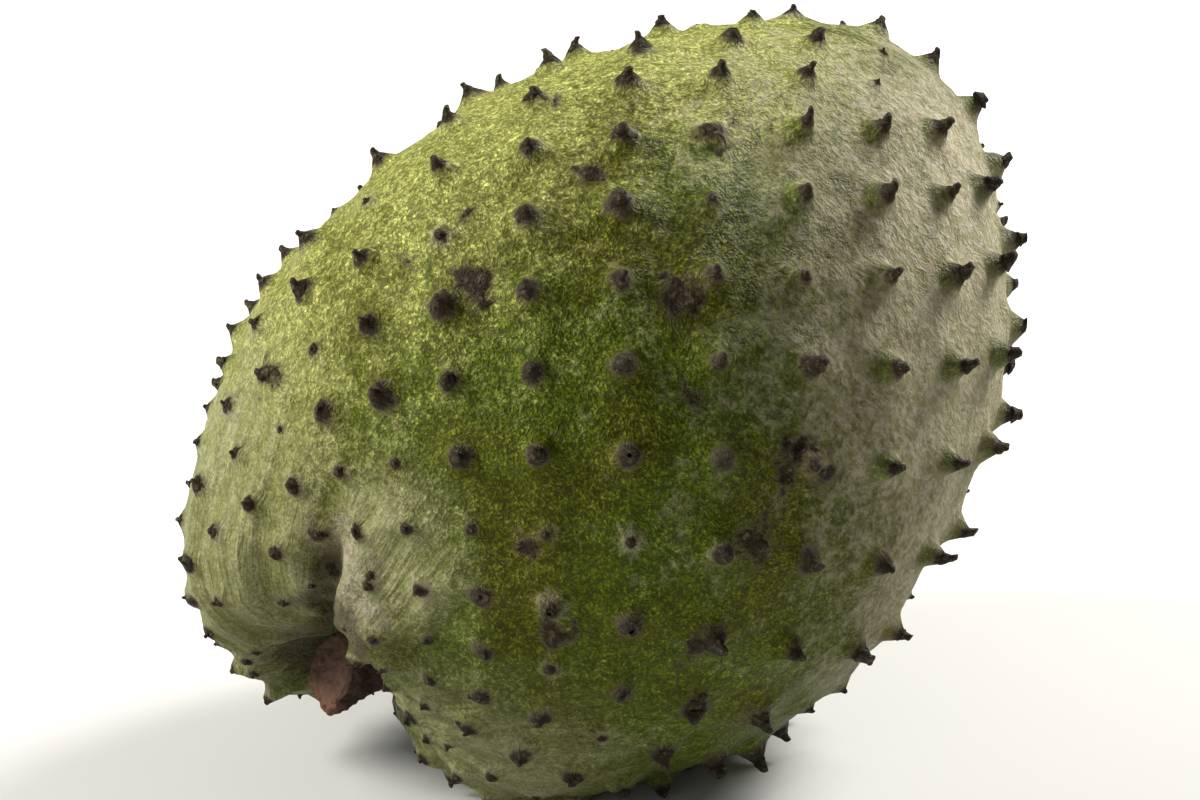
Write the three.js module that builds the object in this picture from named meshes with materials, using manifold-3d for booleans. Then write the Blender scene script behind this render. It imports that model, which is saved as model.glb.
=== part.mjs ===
// Soursop: a heart-shaped fruit set with short fleshy spines, lying on a small flat spot,
// with the woody stub of its stalk in the hollow at the stem end.
// Millimetres, +Z up. The origin is on the ground, under the middle of the bounding box.

import * as THREE from 'three';
import { ConvexHull } from 'three/addons/math/ConvexHull.js';
import { mergeVertices } from 'three/addons/utils/BufferGeometryUtils.js';
import Module from 'manifold-3d';

// ---- Driving dimensions, in millimetres and degrees -----------------------------------

// How the fruit lies. Its axis runs from the stem end to the nose.
const AXIS_RISE = 36; // the nose end is lifted by this angle
const AXIS_TURN = 31; // and swings this far from +X towards +Y
const AXIS_ROLL = 34; // turn about the axis, which sets the side that faces up

// The plain egg under the lobes, measured from a centre on the axis.
const STEM_REACH = 69;
const NOSE_REACH = 90.5;
const GIRTH_RADIUS = 71.5;

// Places on the skin are given by two angles from the centre: fromStem is 0 at the stalk and
// 180 at the nose, and around is 0 on the front (-Y) side and 90 on the upper side.
// A swelling stands out and a hollow (negative height) goes in, fading over its spread.
const LOBES = [
  { name: 'upper shoulder', fromStem: 20, around: 80, height: 15, spread: 21 },
  { name: 'rear shoulder', fromStem: 16, around: 170, height: 11, spread: 14 },
  { name: 'lower shoulder', fromStem: 31, around: -86, height: 5.5, spread: 18 },
  { name: 'upper waist', fromStem: 90, around: 90, height: -10.5, spread: 25 },
  { name: 'upper flank', fromStem: 131, around: 90, height: -11, spread: 30 },
  { name: 'lower flank', fromStem: 114, around: -90, height: -3.5, spread: 21 },
  { name: 'lower waist', fromStem: 67, around: -90, height: -1.5, spread: 26 },
  { name: 'front lip', fromStem: 27, around: 4, height: 2.6, spread: 10 },
  { name: 'nose crest', fromStem: 179, around: 90, height: 6.5, spread: 20 },
  { name: 'nose underside', fromStem: 152, around: -90, height: -2.5, spread: 18 },
];

// The hollow that the stalk sits in, and the crease between the two shoulders, which runs
// through the hollow and fades out on the front and on the rear side.
const CAVITY = { fromStem: 4, around: -60, depth: 9, spread: 12 };
const CREASE = { around: 27, depth: 13, width: 6.4, frontEnds: 50, rearEnds: 60 };

// Spines stand in staggered rings, evenly spaced in angle around the axis.
const SPINES_PER_RING = 16;
const RING_COUNT = 30;
const FIRST_RING = -44.5;   // where ring 0 would be if the rings were evenly spaced
const RING_STEP = 9.7;      // between rings on the broad part of the fruit
const CROWDING = 0.52;      // rings near the stem lose this share of their spacing
const CROWDING_ENDS = 57;   // fromStem where the crowding fades out
const CROWDING_FADE = 20;
const RING_START = 8;       // turn of the rings about the axis
const GROWTH_CALM = 20;     // the rings nearest the stalk wander less, up to this angle
const SPINE_FREE_STEM = 9;  // no spines nearer the stalk than this angle
const SPINE_FREE_NOSE = 176;

// The fruit grew unevenly, so the rings wander: these are the largest shifts, in degrees.
const GROWTH_ALONG = { front: 4, upper: -4.9, stemFront: -2.9, stemUpper: 2.8 };
const GROWTH_AROUND = { front: 2.7, upper: -7.9, frontTwice: 2.2, upperTwice: -2.5 };

// One spine: a blunt cone on a wide, concave flare.
const SPINE_HEIGHT = { stem: 1.5, upper: 3, lower: 4.2, growsFrom: 15, growsTo: 75 };
const SPINE_VARIETY = { least: 0.85, most: 1.15 };   // of its usual height
const SPINE_SPACING = { stem: 4.5, nose: 12 };   // nearer ones did not form
const SHAFT_RING = { radius: 1.8, share: 0.5, sides: 5 };
const FLARE_RING = { radius: 4.6, share: 0.14, sides: 5 };
const SMALL_SPINE = 2.7;        // spines below this height have no flare ring
const STUNTED_SHARE = 0.16;     // part of the spines that broke off short
const STUNTED_HEIGHT = 0.4;

// Bare skin between the spines: points spread evenly, and closer together round the stem.
const BODY_SKIN = { points: 1750, clearance: 6.2 };   // clearance is from a spine's axis
const STEM_SKIN = { points: 4200, clearance: 3 };
const STEM_SKIN_ENDS = 42;

// Ground contact.
const FLAT_DEPTH = 3.2;         // the flat spot is this far above the egg's lowest point
const SPINE_GROUND_GAP = 0.5;   // spines round the flat spot stop this far above the ground
const PRESSED_AWAY = 0.7;       // a spine pressed lower than this is gone
const BLOCK_SIZE = 400;         // of the blocks that cut the flat spot and the stalk's end

// The stalk's stub: a flared, woody cylinder with a rounded, slanting cut end. Distances
// along it are from the fruit's centre, and the skin under it cuts off its foot.
const STALK = { inner: 50, outer: 74.5, sides: 28 };
const STALK_LUMPS = [
  { round: 3, twist: 0.3, height: 0.06 },   // lumps round the stub, and how they wind along it
  { round: 5, twist: -0.5, height: 0.06 },
];
const STALK_PROFILE = [
  { along: 50, radius: 9 },
  { along: 58, radius: 9 },
  { along: 62, radius: 7.4 },
  { along: 66, radius: 6.5 },
  { along: 70, radius: 6.2 },
  { along: 72.5, radius: 5.8 },
  { along: 73.8, radius: 4.8 },
  { along: 74.3, radius: 2.6 },
];
const STALK_FOOT_DROP = 3.5;    // its foot is this far off the axis, towards the lower side
const STALK_SLANT = { upper: 0.46, front: 0.4 };  // which way the cut end looks, as slopes
const STALK_CUT = { along: 0.584, upper: 0.603, front: 0.543, distance: 42.8 };  // knife cut
const JOINT_GAP = 0.35;         // between the stalk's foot and the skin under it

// ---- Directions -----------------------------------------------------------------------

const radians = THREE.MathUtils.degToRad;
const degrees = THREE.MathUtils.radToDeg;

const UP = new THREE.Vector3(0, 0, 1);
const AXIS = new THREE.Vector3(1, 0, 0)
  .applyAxisAngle(new THREE.Vector3(0, -1, 0), radians(AXIS_RISE))
  .applyAxisAngle(UP, radians(AXIS_TURN));
const LEVEL = new THREE.Vector3().crossVectors(UP, AXIS).normalize();
const UPPER = new THREE.Vector3().crossVectors(AXIS, LEVEL).applyAxisAngle(AXIS, radians(-AXIS_ROLL));
const FRONT = new THREE.Vector3().crossVectors(AXIS, UPPER);

// The unit vector from the centre to a place on the skin.
function direction(fromStem, around) {
  const out = Math.sin(radians(fromStem));
  return new THREE.Vector3()
    .addScaledVector(AXIS, -Math.cos(radians(fromStem)))
    .addScaledVector(FRONT, out * Math.cos(radians(around)))
    .addScaledVector(UPPER, out * Math.sin(radians(around)));
}

// The two angles of a unit vector.
function anglesOf(unit) {
  return {
    fromStem: degrees(Math.acos(THREE.MathUtils.clamp(-unit.dot(AXIS), -1, 1))),
    around: degrees(Math.atan2(unit.dot(UPPER), unit.dot(FRONT))),
  };
}

// A bell curve, 1 at the middle, for angles in degrees.
function bell(offset, spread) {
  return Math.exp(-((offset / spread) ** 2));
}

// A repeatable number from 0 to 1 for a counted thing.
function chance(index, salt) {
  const value = Math.sin(index * 12.9898 + salt * 78.233) * 43758.5453;
  return value - Math.floor(value);
}

// ---- The body under the spines --------------------------------------------------------

function eggRadius(unit) {
  const along = -unit.dot(AXIS);
  const reach = along > 0 ? STEM_REACH : NOSE_REACH;
  return 1 / Math.hypot(along / reach, Math.sqrt(1 - along ** 2) / GIRTH_RADIUS);
}

function placeOf(feature) {
  return direction(feature.fromStem, feature.around);
}

const LOBE_PLACES = LOBES.map(placeOf);
const CAVITY_PLACE = placeOf(CAVITY);

function lobeHeight(unit) {
  return LOBES.reduce(
    (height, lobe, i) => height + lobe.height * bell(degrees(unit.angleTo(LOBE_PLACES[i])), lobe.spread),
    0,
  );
}

function creaseDepth({ fromStem, around }) {
  const side = radians(around - CREASE.around);
  const offset = Math.asin(Math.sin(side) * Math.sin(radians(fromStem)));
  const ends = Math.cos(side) > 0 ? CREASE.frontEnds : CREASE.rearEnds;
  const fade = 1 - THREE.MathUtils.smoothstep(fromStem, 0, ends);
  return CREASE.depth * fade * bell(degrees(offset), CREASE.width);
}

function bodyRadius(unit) {
  const cavity = CAVITY.depth * bell(degrees(unit.angleTo(CAVITY_PLACE)), CAVITY.spread);
  return eggRadius(unit) + lobeHeight(unit) - cavity - creaseDepth(anglesOf(unit));
}

// ---- Spines ---------------------------------------------------------------------------

// Where a ring would stand on an evenly grown fruit, with the rings crowded near the stem.
function ringFromStem(ring) {
  const even = FIRST_RING + RING_STEP * ring;
  const crowded = CROWDING_FADE * Math.log1p(Math.exp((CROWDING_ENDS - even) / CROWDING_FADE));
  return even + (1 - CROWDING) * crowded;
}

// A spine's place, after the fruit's uneven growth has shifted it.
function grownPlace(ring, place) {
  const around = RING_START + ((place + 0.5 * (ring % 2)) * 360) / SPINES_PER_RING;
  const fromStem = ringFromStem(ring);
  const front = Math.cos(radians(around));
  const upper = Math.sin(radians(around));
  const frontTwice = Math.cos(radians(2 * around));
  const upperTwice = Math.sin(radians(2 * around));
  const girth = Math.sin(radians(fromStem));
  const stemEnd = Math.cos(radians(fromStem / 2)) ** 2 * Math.min(1, fromStem / GROWTH_CALM);
  const along = girth * (GROWTH_ALONG.front * front + GROWTH_ALONG.upper * upper)
    + stemEnd * (GROWTH_ALONG.stemFront * front + GROWTH_ALONG.stemUpper * upper);
  const turn = GROWTH_AROUND.front * front + GROWTH_AROUND.upper * upper
    + GROWTH_AROUND.frontTwice * frontTwice + GROWTH_AROUND.upperTwice * upperTwice;
  return { fromStem: fromStem + along, around: around + girth * turn };
}

function spineHeight({ fromStem, around }, index) {
  const grown = THREE.MathUtils.smoothstep(fromStem, SPINE_HEIGHT.growsFrom, SPINE_HEIGHT.growsTo);
  const upper = (1 + Math.sin(radians(around))) / 2;
  const full = THREE.MathUtils.lerp(SPINE_HEIGHT.lower, SPINE_HEIGHT.upper, upper);
  const usual = THREE.MathUtils.lerp(SPINE_HEIGHT.stem, full, grown);
  const stunted = chance(index, 1) < STUNTED_SHARE ? STUNTED_HEIGHT : 1;
  const variety = THREE.MathUtils.lerp(SPINE_VARIETY.least, SPINE_VARIETY.most, chance(index, 2));
  return usual * stunted * variety;
}

// All spines that formed: place on the unit sphere, skin radius there and height.
function growSpines(groundLevel) {
  const spines = [];
  for (let index = 0; index < RING_COUNT * SPINES_PER_RING; index += 1) {
    const ring = Math.floor(index / SPINES_PER_RING);
    const { fromStem, around } = grownPlace(ring, index % SPINES_PER_RING);
    if (fromStem < SPINE_FREE_STEM || fromStem > SPINE_FREE_NOSE) {
      continue;
    }
    const unit = direction(fromStem, around);
    const radius = bodyRadius(unit);
    const spacing = THREE.MathUtils.mapLinear(fromStem, 0, 180, SPINE_SPACING.stem, SPINE_SPACING.nose);
    if (spines.some((other) => other.unit.angleTo(unit) * radius < spacing)) {
      continue;
    }
    const room = unit.z < 0 ? (groundLevel + SPINE_GROUND_GAP) / unit.z - radius : Infinity;
    const height = Math.min(spineHeight({ fromStem, around }, index), room);
    if (height > PRESSED_AWAY) {
      spines.push({ unit, radius, height, index });
    }
  }
  return spines;
}

// ---- The fruit's skin: points on the unit sphere, each with its own distance out -------

// A ring of points round a spine's axis, at a distance over the skin in millimetres.
function ringAround(spine, ring, turn) {
  const side = new THREE.Vector3().crossVectors(spine.unit, UP).normalize();
  const angle = ring.radius / spine.radius;
  return Array.from({ length: ring.sides }, (_, i) => {
    const tilted = spine.unit.clone().applyAxisAngle(side, angle);
    const unit = tilted.applyAxisAngle(spine.unit, turn + (2 * Math.PI * i) / ring.sides);
    return { unit, distance: bodyRadius(unit) + spine.height * ring.share };
  });
}

function spinePoints(spine) {
  const turn = 2 * Math.PI * chance(spine.index, 3);
  const tip = { unit: spine.unit, distance: spine.radius + spine.height };
  const shaft = ringAround(spine, SHAFT_RING, turn);
  const flare = spine.height < SMALL_SPINE
    ? []
    : ringAround(spine, FLARE_RING, turn + Math.PI / FLARE_RING.sides);
  return [tip, ...shaft, ...flare];
}

// Evenly spread points over the whole sphere, in a spiral.
function spiralUnit(i, count) {
  const height = 1 - (2 * i + 1) / count;
  const out = Math.sqrt(1 - height ** 2);
  const turn = i * Math.PI * (3 - Math.sqrt(5));
  return new THREE.Vector3(out * Math.cos(turn), out * Math.sin(turn), height);
}

function spiral(count) {
  return Array.from({ length: count }, (_, i) => spiralUnit(i, count));
}

function bareSkin(spines, skin, isNear) {
  return spiral(skin.points)
    .filter(isNear)
    .map((unit) => ({ unit, distance: bodyRadius(unit) }))
    .filter(({ unit, distance }) => (
      spines.every((spine) => spine.unit.angleTo(unit) * distance > skin.clearance)
    ));
}

function bareSkinPoints(spines) {
  const nearStem = (unit) => anglesOf(unit).fromStem < STEM_SKIN_ENDS;
  return [
    ...bareSkin(spines, STEM_SKIN, nearStem),
    ...bareSkin(spines, BODY_SKIN, (unit) => !nearStem(unit)),
  ];
}

// Joins the points into triangles by taking the convex hull of their unit vectors.
function triangulate(points) {
  const order = new Map(points.map((point, i) => [point.unit, i]));
  const triangles = [];
  for (const face of new ConvexHull().setFromPoints(points.map((point) => point.unit)).faces) {
    const corners = [];
    let edge = face.edge;
    do {
      corners.push(order.get(edge.head().point));
      edge = edge.next;
    } while (edge !== face.edge);
    for (let i = 2; i < corners.length; i += 1) {
      triangles.push(corners[0], corners[i - 1], corners[i]);
    }
  }
  return triangles;
}

// ---- Solids ---------------------------------------------------------------------------

const wasm = await Module();
wasm.setup();

function solidOf(positions, triangles) {
  return new wasm.Manifold(new wasm.Mesh({
    numProp: 3,
    vertProperties: Float32Array.from(positions),
    triVerts: Uint32Array.from(triangles),
  }));
}

function skinSolid(points, triangles, extra) {
  const positions = points.flatMap(({ unit, distance }) => (
    unit.clone().multiplyScalar(distance + extra).toArray()
  ));
  return solidOf(positions, triangles);
}

// A closed three.js shape as a solid: shared corners are merged and empty triangles dropped.
function solidOfGeometry(geometry) {
  geometry.deleteAttribute('normal');
  geometry.deleteAttribute('uv');
  const merged = mergeVertices(geometry);
  const corners = merged.getIndex().array;
  const triangles = [];
  for (let i = 0; i < corners.length; i += 3) {
    const [a, b, c] = corners.slice(i, i + 3);
    if (a !== b && b !== c && c !== a) {
      triangles.push(a, b, c);
    }
  }
  return solidOf(merged.getAttribute('position').array, triangles);
}

// The stub is a lathe about +Y, made lumpy, slanted at its outer end and laid along the axis.
// A knife has taken its upper front corner off in one flat cut.
function stalkSolid() {
  const profile = STALK_PROFILE.map(({ along, radius }) => new THREE.Vector2(radius, along));
  const onAxis = (along) => new THREE.Vector2(0, along);
  const outline = [onAxis(STALK.inner), ...profile, onAxis(STALK.outer)];
  const geometry = new THREE.LatheGeometry(outline, STALK.sides);
  const position = geometry.getAttribute('position');
  const point = new THREE.Vector3();
  for (let i = 0; i < position.count; i += 1) {
    point.fromBufferAttribute(position, i);
    const along = point.y;
    const turn = Math.atan2(point.z, point.x);
    const swell = STALK_LUMPS.reduce(
      (total, lump) => total + lump.height * Math.sin(lump.round * turn + lump.twist * along),
      1,
    );
    const upper = point.x * swell;
    const front = point.z * swell;
    const outerness = THREE.MathUtils.smoothstep(along, STALK.inner, STALK.outer);
    const slant = outerness * (STALK_SLANT.upper * upper + STALK_SLANT.front * front);
    point.set(0, 0, 0)
      .addScaledVector(AXIS, slant - along)
      .addScaledVector(UPPER, upper - STALK_FOOT_DROP * (1 - outerness))
      .addScaledVector(FRONT, front);
    position.setXYZ(i, point.x, point.y, point.z);
  }
  return solidOfGeometry(geometry).intersect(behindCut());
}

// A block far larger than the fruit, standing on the plane z = 0.
function largeBlock() {
  const block = new THREE.BoxGeometry(BLOCK_SIZE, BLOCK_SIZE, BLOCK_SIZE);
  return block.translate(0, 0, BLOCK_SIZE / 2);
}

// Everything above the ground.
function aboveGround(groundLevel) {
  return solidOfGeometry(largeBlock().translate(0, 0, groundLevel));
}

// Everything on the fruit's side of the stalk's knife cut.
function behindCut() {
  const outward = new THREE.Vector3()
    .addScaledVector(AXIS, -STALK_CUT.along)
    .addScaledVector(UPPER, STALK_CUT.upper)
    .addScaledVector(FRONT, STALK_CUT.front)
    .normalize();
  const turn = new THREE.Quaternion().setFromUnitVectors(UP, outward.clone().negate());
  const middle = outward.multiplyScalar(STALK_CUT.distance);
  return solidOfGeometry(largeBlock().applyQuaternion(turn).translate(middle.x, middle.y, middle.z));
}

function geometryOf(solid) {
  const { vertProperties, triVerts } = solid.getMesh();
  const geometry = new THREE.BufferGeometry();
  geometry.setAttribute('position', new THREE.BufferAttribute(vertProperties, 3));
  geometry.setIndex(new THREE.BufferAttribute(triVerts, 1));
  geometry.computeVertexNormals();
  return geometry;
}

// ---- The soursop ----------------------------------------------------------------------

function lowestPoint() {
  return Math.min(...spiral(BODY_SKIN.points).map((unit) => unit.z * bodyRadius(unit)));
}

const groundLevel = lowestPoint() + FLAT_DEPTH;
const spines = growSpines(groundLevel);
const points = [...spines.flatMap(spinePoints), ...bareSkinPoints(spines)];
const triangles = triangulate(points);
const fruitSolid = skinSolid(points, triangles, 0).intersect(aboveGround(groundLevel));
const stubSolid = stalkSolid().subtract(skinSolid(points, triangles, JOINT_GAP));

const fruit = new THREE.Mesh(
  geometryOf(fruitSolid),
  new THREE.MeshStandardMaterial({ color: 0x6f7a2e, roughness: 0.62, metalness: 0 }),
);
fruit.name = 'fruit';

const stalk = new THREE.Mesh(
  geometryOf(stubSolid),
  new THREE.MeshStandardMaterial({ color: 0x5c3a2a, roughness: 0.85, metalness: 0 }),
);
stalk.name = 'stalk';

const soursop = new THREE.Group();
soursop.add(fruit, stalk);
const box = new THREE.Box3().setFromObject(soursop);
const middle = box.getCenter(new THREE.Vector3());
soursop.position.set(-middle.x, -middle.y, -groundLevel);

export default soursop;
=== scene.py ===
"""Soursop: the pebbled rind with its spines and scabs, and the woody stub of its stalk."""

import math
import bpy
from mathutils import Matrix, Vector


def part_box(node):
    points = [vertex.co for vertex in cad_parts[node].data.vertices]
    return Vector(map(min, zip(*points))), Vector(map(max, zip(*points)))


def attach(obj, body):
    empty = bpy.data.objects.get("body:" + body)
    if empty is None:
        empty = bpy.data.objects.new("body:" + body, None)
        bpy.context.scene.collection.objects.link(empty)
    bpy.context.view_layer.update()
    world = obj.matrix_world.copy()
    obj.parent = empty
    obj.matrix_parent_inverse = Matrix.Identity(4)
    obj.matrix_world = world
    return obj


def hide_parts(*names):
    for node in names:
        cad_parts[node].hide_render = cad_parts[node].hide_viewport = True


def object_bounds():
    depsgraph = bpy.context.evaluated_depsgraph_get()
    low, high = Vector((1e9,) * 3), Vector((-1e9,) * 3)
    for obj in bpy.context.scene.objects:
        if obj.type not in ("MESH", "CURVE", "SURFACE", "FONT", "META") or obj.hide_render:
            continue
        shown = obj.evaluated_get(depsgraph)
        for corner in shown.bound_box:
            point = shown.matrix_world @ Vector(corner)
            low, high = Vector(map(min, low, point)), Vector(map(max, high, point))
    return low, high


bl_info = {
    "name": "Soursop",
    "version": (1, 0, 0),
    "blender": (4, 5, 0),
    "location": "View3D > Sidebar > Soursop",
    "description": "Grows the rind and the stalk of a soursop over its frame",
    "category": "Object",
}

from types import SimpleNamespace

import bpy
import numpy as np
from mathutils import Vector, kdtree, noise

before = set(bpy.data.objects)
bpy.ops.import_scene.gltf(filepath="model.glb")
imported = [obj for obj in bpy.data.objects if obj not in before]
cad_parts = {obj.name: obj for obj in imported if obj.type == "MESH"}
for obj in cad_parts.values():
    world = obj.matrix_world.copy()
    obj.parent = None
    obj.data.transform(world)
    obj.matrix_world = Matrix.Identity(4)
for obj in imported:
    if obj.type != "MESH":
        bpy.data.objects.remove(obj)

MM = 0.001
CAD_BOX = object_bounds()
FRUIT_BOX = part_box("fruit")
STALK_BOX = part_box("stalk")

# The fruit's own directions, from the places of its two pieces.
HEART = (FRUIT_BOX[0] + FRUIT_BOX[1]) / 2
STEM = (STALK_BOX[0] + STALK_BOX[1]) / 2
AXIS = (HEART - STEM).normalized()  # from the stem end to the nose
FRONT = (Vector((0, -1, 0)) - AXIS * AXIS.dot(Vector((0, -1, 0)))).normalized()
UPPER = AXIS.cross(FRONT)
if UPPER.z < 0:
    UPPER.negate()

FULL_HEIGHT = 3.6 * MM  # of a well grown spine
STEEPNESS = 0.2  # the least rise of a spine's tip over its surroundings, for their reach
LONGEST_REACH = 4 * MM  # from a spine's tip to the corners joined to it

# The rings of corners of a woody tip: their heights, and how far each is widened.
TIP_HEIGHTS = (0, 0.3, 0.6, 0.85, 1)
TIP_WIDENINGS = (1.2, 1.1, 1.05, 1.1, 0.95)

# Healed wounds of the rind: the angle from the stem end, the angle round from the front side
# to the upper side, the radius and how strong the scab is. Each settles on the nearest spine
# that it can reach.
SCABS = (
    (78, 39, 5.0 * MM, 1.0),
    (102, 37, 3.6 * MM, 0.9),
    (95, 14, 5.0 * MM, 1.0),
    (108, 38, 3.6 * MM, 0.8),
    (118, 31, 4.3 * MM, 0.9),
    (108, 57, 4.3 * MM, 0.8),
    (90, -13, 5.4 * MM, 0.9),
    (92, -20, 4.3 * MM, 0.8),
    (78, -19, 5.8 * MM, 0.8),
    (48, -11, 4.7 * MM, 0.8),
    (63, -27, 4.7 * MM, 0.9),
    (59, -37, 4.7 * MM, 1.0),
    (86, 3, 3.6 * MM, 0.7),
    (55, 5, 3.6 * MM, 0.8),
    (48, 68, 5.8 * MM, 0.7),
    (34, 42, 4.3 * MM, 0.6),
    (75, 51, 2.2 * MM, 0.5),
    (80, 49, 2.6 * MM, 0.6),
    (86, 48, 2.9 * MM, 0.6),
    (27, 40, 2.0 * MM, 0.7),
    (125, 150, 5.0 * MM, 0.8),
    (95, 190, 5.0 * MM, 0.8),
    (70, 230, 4.3 * MM, 0.7),
    (140, 250, 4.3 * MM, 0.7),
)

# Where the rind is paler and yellower on its upper side, bleached by the sun and with painted
# light where the key light falls; where a dull bloom lies on it, partly painted sheen of the rim
# light; and where it is pale and ribbed: the same two angles, and the spread in degrees.
SUNNED_AND_LIT = ((95, 75, 46), (62, 85, 36), (140, 55, 34), (60, 175, 40))
BLOOM_AND_SHEEN_PLACES = ((133, -42, 50), (150, -100, 45), (105, -60, 30), (32, 34, 7), (28, 25, 6))
SAGE = ((26, 80, 33), (22, -60, 26), (38, 26, 15))
# painted sheen: the bloom painted paler on the nose, where the rim light falls
PAINTED_SHEEN = ((150, -10, 22),)  # where the bloom is thickest, on the nose
CORKED = ((23, 25, 5), (19, 38, 5), (26, 40, 2.5), (9, 60, 4), (12, 45, 3))  # brown round the stalk
ZONES = {"sunned_and_lit": SUNNED_AND_LIT, "bloomed_and_sheened": BLOOM_AND_SHEEN_PLACES, "pale": PAINTED_SHEEN, "sage": SAGE, "corked": CORKED}

# Repeats in a metre of the patterns in the rind and in the wood.
GRAIN = 2100.0
PEBBLES = 1500.0
TIP_BARK = 1100.0
SPECKLE = 620.0
WARP = 600.0
WEB = 430.0
CRUST = 400.0
STREAK_SEED = 400.0
STALK_BARK = 350.0
MOTTLE = 170.0
PATCHES = 42.0

# Repeats of the ribs and the creases: two across the lines from stem to nose, one along them.
FINE_RIBS = (24.0, 24.0, 16.0)
BROAD_RIBS = (8.0, 8.0, 5.0)
CREASES = (26.0, 26.0, 210.0)
SCRATCHES = (900.0, 300.0, 500.0)  # repeats in a metre on the stalk's cut face

# Painted shade, glints and sheen that some places put into the colour under them, as factors.
WHITE = (1.0, 1.0, 1.0)
# painted shade in the gaps between the pebbles, and painted glints on their tops
PAINTED_GAP_SHADE = (0.36, 0.36, 0.28)  # between the pebbles
PAINTED_GLEAM = (1.9, 1.85, 1.9)  # on top of them
# painted sheen of the rim light, as a factor on the bloom
PAINTED_SHEEN_LIFT = (1.36, 1.36, 1.45)  # the thickest bloom
# painted shade at the bottom of the crease and round the stalk
PAINTED_HOLLOW_SHADE = (0.4, 0.34, 0.29)  # at the bottom of the crease

# Name, place, size, power in watts and colour of each light.
WARM = (1.0, 0.98, 0.94)
LIGHTS = (
    ("key light", (-0.94, -0.14, 0.7), 0.5, 22.0, WARM),
    ("rim light", (0.8, 0.68, 0.88), 0.55, 37.0, WARM),
    ("fill light", (-0.5, -1.3, 0.6), 1.0, 2.8, WHITE),
)
SKY_STRENGTH = 0.08


# ---- Settings ---------------------------------------------------------------------------


def length_setting(name, description, default):
    return bpy.props.FloatProperty(
        name=name, description=description, default=default, unit="LENGTH", min=0.0
    )


def colour_setting(name, description, default):
    return bpy.props.FloatVectorProperty(
        name=name, description=description, default=default, subtype="COLOR", min=0.0, max=1.0
    )


class SoursopRindSettings(bpy.types.PropertyGroup):
    """Sizes and colours of the fruit's rind."""

    flare: bpy.props.FloatProperty(
        name="Flare",
        description="How much the foot of each spine is raised, as a share of its height",
        default=0.4,
        subtype="FACTOR",
    )
    swell: length_setting("Swell", "Depth of the slow undulations of the rind", 1.1 * MM)
    dimple: length_setting("Dimple", "Depth of the dimples between the spines", 0.9 * MM)
    pebble: length_setting("Pebble", "Depth of the rind's pebbles", 0.3 * MM)
    fold: length_setting("Fold", "Depth of the folds that run into the stem", 1.8 * MM)
    crease: length_setting("Crease", "How much deeper the crease is than its frame", 2.2 * MM)
    crust: length_setting("Crust", "Depth of the crust of a scab", 1.8 * MM)
    deep_green: colour_setting("Deep green", "The rind where it is darkest", (0.094, 0.105, 0.0015))
    leaf_green: colour_setting("Leaf green", "Patches of clear green", (0.088, 0.126, 0.002))
    # paler yellow of the upper side: bleached by the sun, and painted light where the key light falls
    sunned_and_lit: colour_setting("Sunned", "The rind bleached by the sun", (0.385, 0.4, 0.11))
    # painted glint, added to the tops of some pebbles
    painted_glint: colour_setting("Glint", "What the raised bits of the rind add", (0.06, 0.062, 0.02))
    sage: colour_setting("Sage", "The pale streaks round the stem", (0.28, 0.28, 0.143))
    sage_green: colour_setting("Sage green", "The streaks between the pale ones", (0.198, 0.207, 0.079))
    # the bloom's pale taupe, partly painted sheen of the rim light
    bloom_and_sheen: colour_setting("Bloom", "The dull bloom on the rind", (0.35, 0.32, 0.235))
    groove: colour_setting("Groove", "The fine creases in the bloom", (0.215, 0.195, 0.1))
    crumbs: colour_setting("Crumbs", "The pale crumbs of a scab", (0.22, 0.175, 0.115))
    scar: colour_setting("Scar", "The grey skin of healed scabs", (0.085, 0.069, 0.04))
    bark: colour_setting("Bark", "The dark crust of scabs and spines", (0.033, 0.026, 0.016))


class SoursopTipSettings(bpy.types.PropertyGroup):
    """Sizes and colours of the spines' woody tips."""

    length: bpy.props.FloatProperty(
        name="Length",
        description="Length of a woody tip, as a share of its spine",
        default=0.52,
        subtype="FACTOR",
    )
    foot_radius: length_setting("Foot radius", "Radius of a full tip at its foot", 1.05 * MM)
    hook: bpy.props.FloatProperty(
        name="Hook",
        description="How far a tip leans over, as a share of its length",
        default=0.4,
        subtype="FACTOR",
    )
    bark: colour_setting("Bark", "The dark wood of the tips", (0.022, 0.017, 0.0095))
    worn: colour_setting("Worn bark", "The worn edges of the tips", (0.19, 0.155, 0.1))


class SoursopStalkSettings(bpy.types.PropertyGroup):
    """Sizes and colours of the stalk's stub."""

    grain: length_setting("Grain", "Depth of the cracks in the wood", 1.0 * MM)
    sink: length_setting("Sink", "How far the foot reaches into the rind", 1.6 * MM)
    dark: colour_setting("Dark wood", "The cracked bark of the stub", (0.032, 0.018, 0.013))
    light: colour_setting("Light wood", "The worn wood of the stub", (0.1, 0.058, 0.038))
    cut_dark: colour_setting("Cut wood", "The scratches in the cut face", (0.065, 0.034, 0.024))
    lip: colour_setting("Lip", "The pale lip at the stub's end", (0.15, 0.075, 0.045))


class SoursopStageSettings(bpy.types.PropertyGroup):
    """The floor, the lights and the camera."""

    floor_colour: colour_setting("Floor", "Colour of the floor", (0.62, 0.62, 0.61))
    floor_size: length_setting("Floor size", "Side of the floor", 8.0)
    camera_distance: length_setting("Camera distance", "From the fruit's middle", 0.75)
    camera_elevation: bpy.props.FloatProperty(
        name="Camera elevation",
        description="Height of the camera over the horizon",
        default=math.radians(19),
        subtype="ANGLE",
    )
    lens: bpy.props.FloatProperty(
        name="Lens", description="Focal length in millimetres", default=115.9, min=1.0
    )


# ---- Meshes -----------------------------------------------------------------------------


def read_points(mesh, field="co"):
    """A mesh's corners, or their normals, as rows of three numbers."""
    values = np.empty(len(mesh.vertices) * 3, np.float32)
    mesh.vertices.foreach_get(field, values)
    return values.reshape(-1, 3).astype(float)


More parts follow.
